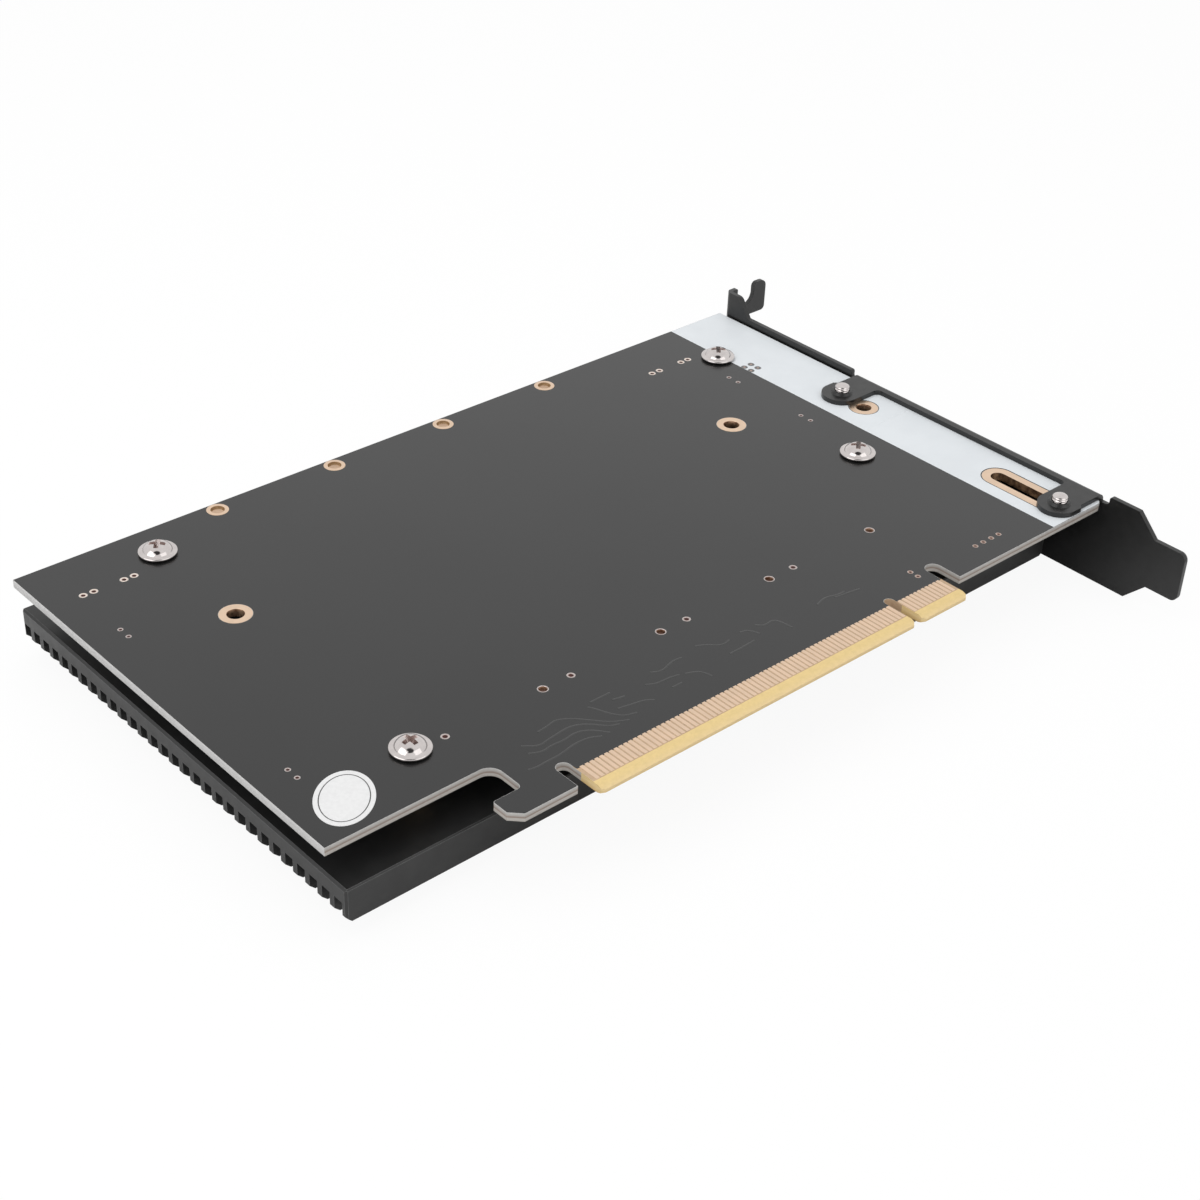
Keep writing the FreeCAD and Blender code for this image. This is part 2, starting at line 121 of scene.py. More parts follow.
def makeLaminate(name, plies, speckleDark=0.88):
    # glass cloth and resin: bands through the board's thickness, broken up by a fine speckle
    material, tree, surface = newMaterial(name)
    where = nodeOf(tree, "ShaderNodeTexCoord").outputs["Object"]
    parts = nodeOf(tree, "ShaderNodeSeparateXYZ", {"Vector": where})
    fit = nodeOf(tree, "ShaderNodeMapRange", {"Value": parts.outputs["Z"], "From Min": -boardHalf * mm,
                                              "From Max": boardHalf * mm})
    noise = noiseOn(tree, 1.1, stretch=(1, 1, 3), detail=5.0, roughness=0.7)
    mix = nodeOf(tree, "ShaderNodeMix", {"Factor": 1.0, "A": ramp(tree, fit.outputs["Result"], plies),
                                         "B": ramp(tree, noise, [(0.3, speckleDark), (0.7, 1.0)])},
                 data_type="RGBA", blend_type="MULTIPLY")
    fill(surface, {"Base Color": mix.outputs["Result"], "Roughness": 0.62, "Specular IOR Level": 0.3})
    addBump(tree, surface, noiseOn(tree, 2.5, stretch=(1, 1, 2), detail=4.0), 0.03, 0.5)
    return material


# the board's edge from component side to solder side, as (height share, colour)
edgePlies = [(0.0, (0.40, 0.38, 0.35)), (0.34, (0.46, 0.43, 0.40)), (0.47, (0.26, 0.20, 0.165)),
             (0.58, (0.34, 0.30, 0.27)), (0.74, (0.45, 0.43, 0.41)), (0.92, (0.48, 0.47, 0.45)),
             (1.0, (0.56, 0.55, 0.54))]
# a lighter copy of the edge plies for the board's left end: painted light on the end that faces the left lamp
litSidePlies = [(0.0, (0.46, 0.455, 0.45)), (0.5, (0.50, 0.495, 0.49)), (0.9, (0.56, 0.555, 0.55)), (1.0, 0.68)]
tipPlies = [(0.0, (0.62, 0.42, 0.19)), (0.35, (0.71, 0.53, 0.26)), (0.6, (0.76, 0.585, 0.31)),
            (1.0, (0.74, 0.56, 0.26))]
# the bare laminate between the contacts and in the key: the tip's laminate darkened, painted shade
shadedGapPlies = [(0.0, (0.50, 0.35, 0.23)), (1.0, (0.53, 0.38, 0.25))]

# name, two colours, scale of the clouds, roughness from and to
solderMask = makeMaterial("solderMask", 0.0112, 0.0128, 0.035, (0.15, 0.19), roughScale=0.05, bump=0.004,
                          bumpScale=0.5)
maskOverCopper = makeMaterial("maskOverCopper", 0.024, 0.030, 0.3, (0.25, 0.32), roughScale=0.3, bump=0.004,
                              bumpScale=1.5)
laminateEdge = makeLaminate("laminateEdge", edgePlies)
laminateLitSide = makeLaminate("laminateLitSide", litSidePlies)
laminateTip = makeLaminate("laminateTip", tipPlies, speckleDark=0.92)
laminateGapShade = makeLaminate("laminateGapShade", shadedGapPlies, speckleDark=0.85)
goldPlate = makeMaterial("goldPlate", (0.735, 0.555, 0.410), (0.790, 0.590, 0.435), 0.5, (0.30, 0.38), metal=1.0,
                         bumpScale=2.5)
# near-black red copper for the barrels of the small holes and the discs in them: painted shade
holeCopperShade = makeMaterial("holeCopperShade", (0.030, 0.006, 0.004), (0.055, 0.014, 0.009), 1.2, (0.5, 0.6), bump=0.02,
                          specular=0.25)
boreCopper = makeMaterial("boreCopper", (0.20, 0.10, 0.06), (0.62, 0.42, 0.28), 1.1, (0.3, 0.5), metal=0.8,
                          bump=0.04, bumpScale=2.2)
slotCopper = makeMaterial("slotCopper", (0.07, 0.035, 0.02), (0.34, 0.20, 0.11), 0.9, (0.35, 0.5), metal=0.6,
                          bump=0.04, bumpScale=2.2, stretch=(1, 1, 0.4))
dullBrass = makeMaterial("dullBrass", (0.30, 0.18, 0.085), (0.42, 0.27, 0.14), 1.4, (0.45, 0.6), metal=0.3, bump=0.01)
solderedRing = makeMaterial("solderedRing", (0.76, 0.65, 0.57), (0.86, 0.76, 0.69), 1.2, (0.3, 0.4), metal=1.0)
dullCopper = makeMaterial("dullCopper", (0.42, 0.30, 0.25), (0.54, 0.40, 0.34), 1.4, (0.35, 0.5), metal=0.6,
                          bump=0.01)
paleTin = makeMaterial("paleTin", (0.50, 0.42, 0.40), (0.60, 0.52, 0.50), 1.4, (0.3, 0.42), metal=0.9)
whiteInk = makeMaterial("whiteInk", (0.665, 0.695, 0.720), (0.695, 0.725, 0.750), 0.12, (0.45, 0.55), bump=0.008,
                        bumpScale=0.9)
brightNickel = makeMaterial("brightNickel", (0.57, 0.53, 0.52), (0.63, 0.59, 0.575), 0.8, (0.08, 0.14), metal=1.0,
                            bump=0.004, bumpScale=2.0)
# a darker, browner copy of the screws' nickel for the cross recess: painted shade
recessNickelShade = makeMaterial("recessNickelShade", (0.52, 0.45, 0.43), (0.60, 0.52, 0.50), 1.5, (0.24, 0.34), metal=1.0,
                            bump=0.01)
blackAnodised = makeMaterial("blackAnodised", 0.019, 0.023, 0.3, (0.34, 0.40), bump=0.003, bumpScale=2.4,
                             stretch=(0.4, 1, 1), specular=0.36)
# lighter, glossier anodising for the heatsink's broken edges: painted highlight
anodisedEdgeHighlight = makeMaterial("anodisedEdgeHighlight", 0.065, 0.11, 0.8, (0.26, 0.36), bumpScale=2.0, specular=0.6)
blackPowder = makeMaterial("blackPowder", 0.0075, 0.0105, 0.5, (0.28, 0.36), bump=0.010, bumpScale=3.2)
bareBrass = makeMaterial("bareBrass", (0.70, 0.50, 0.26), (0.80, 0.60, 0.34), 0.6, (0.25, 0.35), metal=1.0,
                         bumpScale=2.0)
tinned = makeMaterial("tinnedCopper", 0.66, 0.76, 1.5, (0.25, 0.40), metal=1.0, bump=0.01)
blackResin = makeMaterial("blackResin", 0.018, 0.026, 0.8, (0.5, 0.62), bump=0.012, bumpScale=5.0)
brownResin = makeMaterial("brownResin", (0.050, 0.018, 0.009), (0.075, 0.028, 0.014), 1.2, (0.4, 0.5), bump=0.01,
                          bumpScale=4.0)
markGrey = makeMaterial("markGrey", 0.10, 0.17, 1.6, (0.4, 0.5))
greyResin = makeMaterial("greyResin", (0.30, 0.29, 0.27), (0.36, 0.35, 0.33), 1.4, (0.5, 0.6), bump=0.008,
                         bumpScale=5.0)
pressedPowder = makeMaterial("pressedPowder", 0.12, 0.18, 3.0, (0.6, 0.75), bump=0.03, bumpScale=6.0)
ceramicBody = makeMaterial("ceramicBody", (0.36, 0.25, 0.16), (0.42, 0.30, 0.20), 2.0, (0.4, 0.5), bumpScale=6.0)
softPad = makeMaterial("softPad", (0.34, 0.40, 0.46), (0.40, 0.46, 0.52), 0.8, (0.7, 0.8), bump=0.04, bumpScale=1.5)
lampLens = makeMaterial("lampLens", (0.70, 0.76, 0.62), (0.78, 0.83, 0.70), 2.0, (0.15, 0.25), bump=0.0)
labelPaper = makeMaterial("labelPaper", 0.695, 0.735, 1.5, (0.5, 0.6), bump=0.01, bumpScale=2.0)
darkInk = makeMaterial("darkInk", 0.035, 0.05, 1.5, (0.5, 0.6), bump=0.004)
print("materials made")


# outlines
def roundedLoop(corners, step=0.12):
    # (x, y) or (x, y, radius) corners, with each rounded corner as an arc of short runs
    loop = []
    for i, corner in enumerate(corners):
        here = Vector(corner[:2])
        radius = corner[2] if len(corner) > 2 else 0
        if not radius:
            loop.append(here)
            continue
        back = (Vector(corners[i - 1][:2]) - here).normalized()
        ahead = (Vector(corners[(i + 1) % len(corners)][:2]) - here).normalized()
        half = back.angle(ahead) / 2
        centre = here + (back + ahead).normalized() * (radius / math.sin(half))
        first = here + back * (radius / math.tan(half)) - centre
        turn = math.pi - 2 * half
        if back.x * ahead.y - back.y * ahead.x > 0:
            turn = -turn
        count = max(4, int(abs(turn) * radius / step), int(abs(turn) / 0.13))
        for k in range(count + 1):
            loop.append(centre + Matrix.Rotation(turn * k / count, 2) @ first)
    return loop


def circleLoop(x, y, radius, count):
    turns = [2 * math.pi * k / count for k in range(count)]
    return [Vector((x + radius * math.cos(a), y + radius * math.sin(a))) for a in turns]


def rectangleLoop(x0, x1, y0, y1, radius):
    return roundedLoop([(x0, y0, radius), (x1, y0, radius), (x1, y1, radius), (x0, y1, radius)])


def shrunk(loop, distance):
    # every point moved into the outline along the mean of its two sides' normals
    turned = sum(a.x * b.y - b.x * a.y for a, b in zip(loop, loop[1:] + loop[:1]))
    sign = 1 if turned > 0 else -1
    result = []
    for i, here in enumerate(loop):
        back = (here - loop[i - 1]).normalized()
        ahead = (loop[(i + 1) % len(loop)] - here).normalized()
        mean = (Vector((-back.y, back.x)) + Vector((-ahead.y, ahead.x))) * sign
        mean /= max(mean.length_squared / 2, 0.4)
        result.append(here + mean * distance)
    return result


def softened(points, rounds=2):
    # corners of an open line cut twice at a quarter of each run
    for k in range(rounds):
        cut = [points[0]]
        for a, b in zip(points, points[1:]):
            cut += [a.lerp(b, 0.25), a.lerp(b, 0.75)]
        points = cut + [points[-1]]
    return points


# meshes
def addObject(name, data):
    made = bpy.data.objects.new(name, data)
    bpy.context.scene.collection.objects.link(made)
    return made


def meshObject(name, bm, materials):
    mesh = bpy.data.meshes.new(name)
    bmesh.ops.scale(bm, vec=(mm, mm, mm), verts=bm.verts)
    bmesh.ops.recalc_face_normals(bm, faces=bm.faces)
    bm.to_mesh(mesh)
    bm.free()
    for each in materials:
        mesh.materials.append(each)
    return addObject(name, mesh)


def finishPiece(name, bm, materials, smooth=30, bevel=0.0, replaced=()):
    piece = meshObject(name, bm, materials)
    piece.data.shade_smooth()
    if bevel:
        edges = piece.modifiers.new("brokenEdges", "BEVEL")
        edges.width = bevel * mm
        edges.segments = 2
        edges.limit_method = "ANGLE"
        edges.angle_limit = math.radians(40)
        piece.modifiers.new("flatFaces", "WEIGHTED_NORMAL").weight = 80
    else:
        piece.data.set_sharp_from_angle(angle=math.radians(smooth))
    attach(piece, "root")
    if replaced:
        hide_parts(*replaced)
    return piece


def withoutDoubles(loop, least=0.002):
    # doubled points would leave slivers with no width
    return [p for k, p in enumerate(loop) if (p - loop[k - 1]).length > least]


def addPlate(bm, outer, holes, low, high, index=0):
    # a flat plate of any outline with holes through it
    loops = [withoutDoubles(loop) for loop in [outer] + list(holes)]
    flat = [p for loop in loops for p in loop]
    rounds, start = [], 0
    for loop in loops:
        rounds.append(list(range(start, start + len(loop))))
        start += len(loop)
    points, edges, faces, origin = delaunay_2d_cdt(flat, [], rounds, 2, 1e-5)[:4]
    found = {old: new for new, olds in enumerate(origin) for old in olds}
    top = [bm.verts.new((p.x, p.y, high)) for p in points]
    bottom = [bm.verts.new((p.x, p.y, low)) for p in points]
    for face in faces:
        bm.faces.new([top[k] for k in face]).material_index = index
        bm.faces.new([bottom[k] for k in reversed(face)]).material_index = index
    for a, b in [pair for ring in rounds for pair in zip(ring, ring[1:] + ring[:1])]:
        a, b = found[a], found[b]
        bm.faces.new((bottom[a], bottom[b], top[b], top[a])).material_index = index


def addLathe(bm, profile, x, y, count, index=0, closed=False):
    # profile of (radius, z) or (radius, z, material) turned about the upright line through x, y
    rings = []
    for radius, z, *rest in profile:
        if radius < 1e-6:
            rings.append([bm.verts.new((x, y, z))])
        else:
            rings.append([bm.verts.new((p.x, p.y, z)) for p in circleLoop(x, y, radius, count)])
    pairs = list(zip(rings, rings[1:], profile)) + ([(rings[-1], rings[0], profile[-1])] if closed else [])
    for lower, upper, spot in pairs:
        for k in range(count):
            j = (k + 1) % count
            corners = [lower[k % len(lower)], lower[j % len(lower)], upper[j % len(upper)], upper[k % len(upper)]]
            corners = list(dict.fromkeys(corners))
            if len(corners) > 2:
                bm.faces.new(corners).material_index = spot[2] if len(spot) > 2 else index


def addBlock(bm, x0, x1, y0, y1, z0, z1, index=0):
    ends = [sorted(pair) for pair in ((x0, x1), (y0, y1), (z0, z1))]
    made = bmesh.ops.create_cube(bm, size=1.0)["verts"]
    for v in made:
        v.co = [low + (share + 0.5) * (high - low) for (low, high), share in zip(ends, v.co)]
    for face in {f for v in made for f in v.link_faces}:
        face.material_index = index


def addStack(bm, rings):
    # a closed form through rings of the same number of points, with flat ends
    for first, second in zip(rings, rings[1:]):
        for k in range(len(first)):
            j = (k + 1) % len(first)
            bm.faces.new((first[k], first[j], second[j], second[k]))
    bm.faces.new(rings[0])
    bm.faces.new(rings[-1])


def addRidge(bm, points, width, low, high, slope=0.07):
    # a low line with slanted sides that follows the points
    rows = []
    for i, here in enumerate(points):
        back = (here - points[max(i - 1, 0)]).normalized()
        ahead = (points[min(i + 1, len(points) - 1)] - here).normalized()
        mean = Vector((-back.y - ahead.y, back.x + ahead.x)).normalized()
        reaches = ((-width / 2 - slope, low), (-width / 2, high), (width / 2, high), (width / 2 + slope, low))
        rows.append([bm.verts.new((here.x + mean.x * reach, here.y + mean.y * reach, z)) for reach, z in reaches])
    addStack(bm, rows)


def islandBoxes(node):
    # the box of each solid in a node, in millimetres, from low y to high y and then by x
    bm = bmesh.new()
    bm.from_mesh(nodes[node].data)
    bmesh.ops.remove_doubles(bm, verts=bm.verts, dist=0.001 * mm)
    left, boxes = set(bm.verts), []
    while left:
        group, edge = [], [left.pop()]
        while edge:
            here = edge.pop()
            group.append(here.co / mm)
            for each in here.link_edges:
                other = each.other_vert(here)
                if other in left:
                    left.remove(other)
                    edge.append(other)
        boxes.append([(min(p[k] for p in group), max(p[k] for p in group)) for k in range(3)])
    bm.free()
    return sorted(boxes, key=lambda box: (round(box[1][0], 1), round(box[0][0], 1)))


# circuit board
board = {"left": -113.1, "right": 56.9, "far": 106.65, "frontLeft": 15.25, "shoulder": 4.6, "shoulderCorner": 1.5}
mask = {"thickness": 0.035, "inset": 0.07, "end": 6.05, "corner": 0.2, "gap": 0.06}
tongue = {"left": -72.6, "right": 12.6, "corner": 0.6, "halfKey": 0.95, "keyDepth": 8.03, "tipLength": 1.3,
          "tipDepth": 0.47, "tipEnd": 2.2, "sideEnd": 5.0, "fingerEnd": 7.0}
slots = {"right": 15.8, "rightDepth": 10.8, "rightCorner": 1.6, "left": -75.1, "leftDepth": 8.9, "leftCorner": 1.25}
hook = {"left": -87.5, "top": 8.1, "end": 2.9, "chamfer": 1.95, "corner": 0.4, "neck": 0.95, "recess": -81.8,
        "recessCorner": 2.45}
heatsinkScrews = [(41.4, 91.5), (34.1, 45.6), (-89.3, 98.5), (-89.3, 25.85)]
openHoles = [(23.3, 69.2), (-89.3, 74.1), (49.3, 57.8)]
tabHoles = [(48.85, 8.7), (49.3, 63.85)]
longHole = {"x": 48.85, "low": 8.7, "high": 22.85, "radius": 1.6, "ring": 3.2}
bays = {"centres": [-73.05, -47.05, -21.05, 4.95], "socketLine": 25.2, "standoffLine": 104.47, "pegReach": 10.0}
pinHoles = [(x, 94.9) for x in (-106.25, -104.2, -98.3, -96.3, 25.9, 27.95, 34.05, 36.0)]
smallVias = [(-106.7, 82.1), (-106.7, 79.5), (-106.7, 33.7), (-106.7, 31.2), (37.1, 83.8), (37.1, 81.2),
             (36.9, 63.3), (36.9, 60.7)]
dotVias = [(10.05, 11.1), (10.05, 9.35), (25.9, 9.5), (28.1, 9.5), (30.3, 9.5), (32.4, 9.5)]

holeFinishes = [goldPlate, holeCopperShade, dullCopper, paleTin, boreCopper, solderedRing]
gold, dark, dull, tin, bored, soldered = range(len(holeFinishes))
holeGroups = [  # places, drilled radius, ring radius, finishes of ring and barrel
    (heatsinkScrews, 1.6, 2.8, gold, bored),
    (openHoles, 1.6, 2.9, gold, bored),
    (tabHoles[1:], 1.6, 3.0, gold, bored),
    ([(x, bays["standoffLine"]) for x in bays["centres"]], 1.75, 2.0, gold, bored),
    ([(x - bays["pegReach"], bays["socketLine"]) for x in bays["centres"]], 0.47, 0.70, tin, dark),
    ([(x + bays["pegReach"], bays["socketLine"]) for x in bays["centres"]], 0.80, 0.925, tin, bored),
    (pinHoles, 0.42, 0.715, soldered, dark),
    (smallVias, 0.30, 0.46, tin, dark),
    (dotVias, 0.29, 0.50, dull, dark),
]
roundHoles = [(x, y, *rest) for places, *rest in holeGroups for x, y in places]


def boardCorners(end, corner):
    # the outline, with a tongue that ends at y = end
    b, t, h, s, key = board, tongue, hook, slots, tongue["halfKey"]
    return [
        (b["left"], b["far"]), (b["left"], b["frontLeft"]), (h["recess"], b["frontLeft"], h["recessCorner"]),
        (h["recess"], h["top"], h["neck"]), (h["left"], h["top"], h["corner"]), (h["left"], h["end"] + h["chamfer"]),
        (h["left"] + h["chamfer"], h["end"]), (s["left"], h["end"]), (s["left"], s["leftDepth"], s["leftCorner"]),
        (t["left"], s["leftDepth"], s["leftCorner"]), (t["left"], end + corner), (t["left"] + corner, end),
        (-key - corner, end), (-key, end + corner), (-key, t["keyDepth"], key), (key, t["keyDepth"], key),
        (key, end + corner), (key + corner, end), (t["right"] - corner, end), (t["right"], end + corner),
        (t["right"], s["rightDepth"], s["rightCorner"]), (s["right"], s["rightDepth"], s["rightCorner"]),
        (s["right"], b["shoulder"]), (b["right"], b["shoulder"], b["shoulderCorner"]), (b["right"], b["far"]),
    ]


def segmentsFor(radius):
    return 48 if radius > 1.5 else 32 if radius > 0.6 else 20


def longHoleLoop(radius):
    h = longHole
    return rectangleLoop(h["x"] - radius, h["x"] + radius, h["low"] - radius, h["high"] + radius, radius)


def cutThrough(bm, place, normal, **settings):
    return bmesh.ops.bisect_plane(bm, geom=bm.verts[:] + bm.edges[:] + bm.faces[:], plane_co=place, plane_no=normal,
                                  **settings)["geom_cut"]


def makeBoardCore():
    t = tongue
    bm = bmesh.new()
    level = boardHalf - mask["thickness"]
    holes = [circleLoop(x, y, r, segmentsFor(r)) for x, y, r, ring, finish, barrel in roundHoles]
    holes.append(longHoleLoop(longHole["radius"]))
    addPlate(bm, roundedLoop(boardCorners(0, t["corner"])), holes, -level, level)
    for side in (1, -1):
        # planes through the tongue's slanted tip: what lies outside them is cut away
        slope = Vector((0, -t["tipDepth"], side * t["tipLength"])).normalized()
        rim = cutThrough(bm, (0, t["tipLength"], side * level), slope, clear_outer=True)
        bmesh.ops.holes_fill(bm, edges=[e for e in rim if isinstance(e, bmesh.types.BMEdge)])
    for y in (t["tipEnd"], t["sideEnd"], t["fingerEnd"]):
        cutThrough(bm, (0, y, 0), (0, 1, 0))
    bm.normal_update()
    near = 0.1  # slack for the middle of a face
    edge, tip, gap, side = range(4)  # the order of the materials below
    for face in bm.faces:
        middle = face.calc_center_median()
        flat = abs(face.normal.z) > 0.9
        onTongue = t["left"] - near < middle.x < t["right"] + near
        inKey = abs(middle.x) < t["halfKey"] + near and middle.y < t["keyDepth"] + near
        if middle.y < t["tipEnd"] or (onTongue and middle.y < t["sideEnd"] and not flat):
            face.material_index = tip
        # between and under the contacts and on the key's walls: the darker laminate, painted shade
        elif (onTongue and middle.y < t["fingerEnd"] and flat) or (inKey and not flat):
            face.material_index = gap
        # the left end gets the lighter copy of the laminate: painted light
        elif abs(face.normal.x) > 0.9 and abs(middle.x - board["left"]) < near:
            face.material_index = side
        else:
            face.material_index = edge
    finishPiece("boardLaminate", bm, [laminateEdge, laminateTip, laminateGapShade, laminateLitSide],
                smooth=20, replaced=("circuit_board",))


def makeMask(name, low, high):
    bm = bmesh.new()
    gap = mask["gap"]
    holes = [circleLoop(x, y, ring + gap, segmentsFor(ring)) for x, y, r, ring, finish, barrel in roundHoles]
    holes.append(longHoleLoop(longHole["ring"] + gap))
    outer = shrunk(roundedLoop(boardCorners(mask["end"], mask["corner"])), mask["inset"])
    addPlate(bm, outer, holes, low, high)
    finishPiece(name, bm, [solderMask])


plating = {"below": 0.012, "foil": 0.03, "rim": 0.01, "mouth": 0.05, "fillTop": 0.07, "fillEnd": 0.25}


def makeHoleRings():
    # plated copper: a ring on each face and the barrel between them
    foil, rim, mouth = plating["foil"], plating["rim"], plating["mouth"]
    bm = bmesh.new()
    top = boardHalf - plating["below"]
    for x, y, r, ring, finish, barrel in roundHoles:
        wall = r - min(0.05, r * 0.08)
        count = segmentsFor(r)
        addLathe(bm, [(ring, top - foil, finish), (ring - rim, top, finish), (wall + foil, top, finish),
                      (wall, top - mouth, barrel), (wall, mouth - top, finish), (wall + foil, -top, finish),
                      (ring - rim, -top, finish), (ring, foil - top, finish), (r - 0.005, foil - top, finish),
                      (r - 0.005, top - foil, finish)], x, y, count, closed=True)
        if barrel == dark:
            # a near-black disc stands just below the ring: painted shade for the dark inside of the hole
            for side in (1, -1):
                low, high = side * (top - plating["fillEnd"]), side * (top - plating["fillTop"])
                addLathe(bm, [(0, low, dark), (wall + 0.004, low, dark), (wall + 0.004, high, dark),
                              (0, high, dark)], x, y, count)
    finishPiece("platedHoles", bm, holeFinishes, smooth=50)


def makeLongRing():
    foil, radius = plating["foil"], longHole["radius"]
    bm = bmesh.new()
    top = boardHalf - plating["below"]
    for low, high in ((top - foil, top), (-top, foil - top)):
        addPlate(bm, longHoleLoop(longHole["ring"]), [longHoleLoop(radius - 0.05)], low, high)
    addPlate(bm, longHoleLoop(radius - 0.002), [longHoleLoop(radius - 0.045)], foil - top, top - foil, index=1)
    finishPiece("longHoleRing", bm, [goldPlate, slotCopper], smooth=50)


strip = {
    "start": 42.18, "edge": 0.1, "low": -0.005, "high": 0.013,
    "aroundHole": 3.1, "aroundScrew": 2.1, "aroundLong": 3.45,
    "lines": [(42.7, 55.8, 51.3), (42.7, 45.2, 14.3), (52.5, 55.8, 14.3)],  # x from, x to, y
    "lineWidth": 0.35, "lineRise": 0.022, "lineSlope": 0.12,
}


def makeWhiteStrip():
    s, b = strip, board
    bm = bmesh.new()
    corner = (b["right"], b["shoulder"], b["shoulderCorner"])
    outer = shrunk(roundedLoop([(s["start"], b["shoulder"]), corner, (b["right"], b["far"]),
                                (s["start"], b["far"])]), s["edge"])
    outer = [Vector((max(p.x, s["start"]), p.y)) for p in outer]
    holes = [circleLoop(*openHoles[2], s["aroundHole"], 48), circleLoop(*tabHoles[1], s["aroundScrew"], 40),
             longHoleLoop(s["aroundLong"])]
    top = boardHalf + s["high"]
    addPlate(bm, outer, holes, boardHalf + s["low"], top)
    for x0, x1, y in s["lines"]:
        # a copper line under the ink lifts it a little
        addRidge(bm, [Vector((x0, y)), Vector((x1, y))], s["lineWidth"], top - 0.004, top + s["lineRise"],
                 s["lineSlope"])
    finishPiece("whiteStrip", bm, [whiteInk])


tracks = {"width": 0.32, "height": 0.028, "lines": [
    [(-78.5, 10.6), (-77.0, 10.2), (-74.8, 10.4), (-72.3, 10.3), (-69.1, 11.0), (-66.1, 10.9), (-64.0, 9.8)],
    [(-75.9, 13.7), (-73.9, 12.6), (-71.5, 13.0), (-69.2, 12.7), (-66.7, 13.2), (-64.4, 12.2), (-62.4, 9.7)],
    [(-75.5, 15.8), (-73.2, 14.0), (-71.3, 14.4), (-68.5, 14.7), (-66.2, 14.9), (-63.7, 13.7), (-61.4, 10.9),
     (-59.7, 10.4)],
    [(-71.2, 16.9), (-69.0, 17.1), (-67.0, 17.6), (-64.9, 16.4), (-63.0, 14.4), (-60.7, 11.7), (-57.8, 10.2)],
    [(-60.8, 16.9), (-60.1, 15.9), (-59.2, 13.4), (-57.7, 11.4), (-55.5, 10.9)],
    [(-59.6, 17.6), (-57.5, 17.6), (-55.3, 17.6)],
    [(-56.4, 15.9), (-54.1, 15.4)],
    [(-57.3, 13.6), (-55.1, 13.1), (-52.3, 12.6), (-51.1, 11.6)],
    [(-49.5, 15.6), (-47.7, 14.6), (-45.0, 14.6), (-43.2, 14.1)],
    [(-46.5, 12.3), (-44.3, 12.3)],
    [(-46.5, 17.6), (-44.7, 16.6), (-41.5, 17.7), (-39.5, 17.4)],
    [(-42.3, 13.8), (-39.9, 12.8), (-39.3, 10.5)],
    [(-35.6, 18.4), (-34.0, 17.7), (-31.9, 15.7), (-29.7, 16.1)],
    [(-32.6, 13.2), (-30.2, 13.2), (-26.5, 13.4)],
    [(-26.9, 16.6), (-25.3, 16.3), (-24.5, 14.2)],
    [(-23.3, 16.6), (-22.1, 15.4), (-19.9, 15.8), (-19.2, 14.7), (-18.9, 12.1)],
    [(-10.5, 14.2), (-7.8, 15.0), (-5.5, 14.1), (-3.6, 14.1)],
    [(-6.4, 13.9), (-2.6, 13.3), (-1.0, 13.0)],
]}


def makeTracks():
    # copper lines that show as low ridges under the mask
    bm = bmesh.new()
    for line in tracks["lines"]:
        points = softened([Vector(p) for p in line])
        addRidge(bm, points, tracks["width"], boardHalf - 0.004, boardHalf + tracks["height"])
    finishPiece("tracksUnderMask", bm, [maskOverCopper], smooth=50)


mark = {"centre": (43.8, 84.1), "reach": 0.98, "ring": 0.72, "hole": 0.26}


def makeMark():
    # four test pads in a square on the strip
    hole, ring = mark["hole"], mark["ring"]
    foot, floor, top = [boardHalf + rise for rise in (0.010, 0.020, 0.035)]
    bm = bmesh.new()
    for across, along in squareCorners:
        x, y = mark["centre"][0] + mark["reach"] * across, mark["centre"][1] + mark["reach"] * along
        addLathe(bm, [(0, floor, 1), (hole, floor, 0), (hole + 0.02, top, 0), (ring - 0.03, top, 0), (ring, foot, 0),
                      (0, foot, 0)], x, y, 24)
    finishPiece("markPads", bm, [markGrey, dullCopper], smooth=40)


makeBoardCore()
makeMask("maskSolderSide", boardHalf - mask["thickness"], boardHalf)
makeMask("maskComponentSide", -boardHalf, mask["thickness"] - boardHalf)
makeHoleRings()
makeLongRing()
makeWhiteStrip()
makeTracks()
makeMark()
print("circuit board made")


contacts = {"width": 0.7, "pitch": 1.0, "start": 2.3, "end": 6.3, "first": 1.5, "short": 11, "long": 71,
            "height": 0.047, "corner": 0.12}


def makeContacts(name, node, side):
    c = contacts
    bm = bmesh.new()
    centres = [c["first"] + k * c["pitch"] for k in range(c["short"])]
    centres += [-c["first"] - k * c["pitch"] for k in range(c["long"])]
    base = boardHalf - mask["thickness"]
    low, high = sorted((side * base, side * (base + c["height"])))
    for x in centres:
        half = c["width"] / 2
        loop = roundedLoop([(x - half, c["start"], c["corner"]), (x + half, c["start"], c["corner"]),
                            (x + half, c["end"]), (x - half, c["end"])], step=0.1)
        addPlate(bm, loop, [], low, high)
    finishPiece(name, bm, [goldPlate], bevel=0.012, replaced=(node,))


makeContacts("contactsSolderSide", "contacts_solder_side", 1)
makeContacts("contactsComponentSide", "contacts_component_side", -1)
print("edge contacts made")


# screws: the head's profile is (radius, height over the seat)
screw = {
    "head": [(2.9, 0.0), (3.15, 0.08), (3.36, 0.22), (3.46, 0.36), (3.5, 0.52), (3.47, 0.64), (3.38, 0.74),
             (3.22, 0.80), (3.0, 0.82), (2.74, 0.82), (2.66, 0.86), (2.62, 0.95), (2.52, 1.15), (2.35, 1.35),
             (2.18, 1.52), (2.0, 1.66), (1.8, 1.79), (1.6, 1.9), (1.4, 1.985), (1.2, 2.05), (1.0, 2.1),
             (0.6, 2.14), (0, 2.15)],
    "top": 2.15, "shank": 1.5, "threadPitch": 0.5, "threadDepth": 0.22,
    "crossArm": 1.55, "crossHalf": 0.46, "crossDepth": 1.15,
    "turns": [48, 40, 48, 3],  # degrees that each head's cross is turned by
}


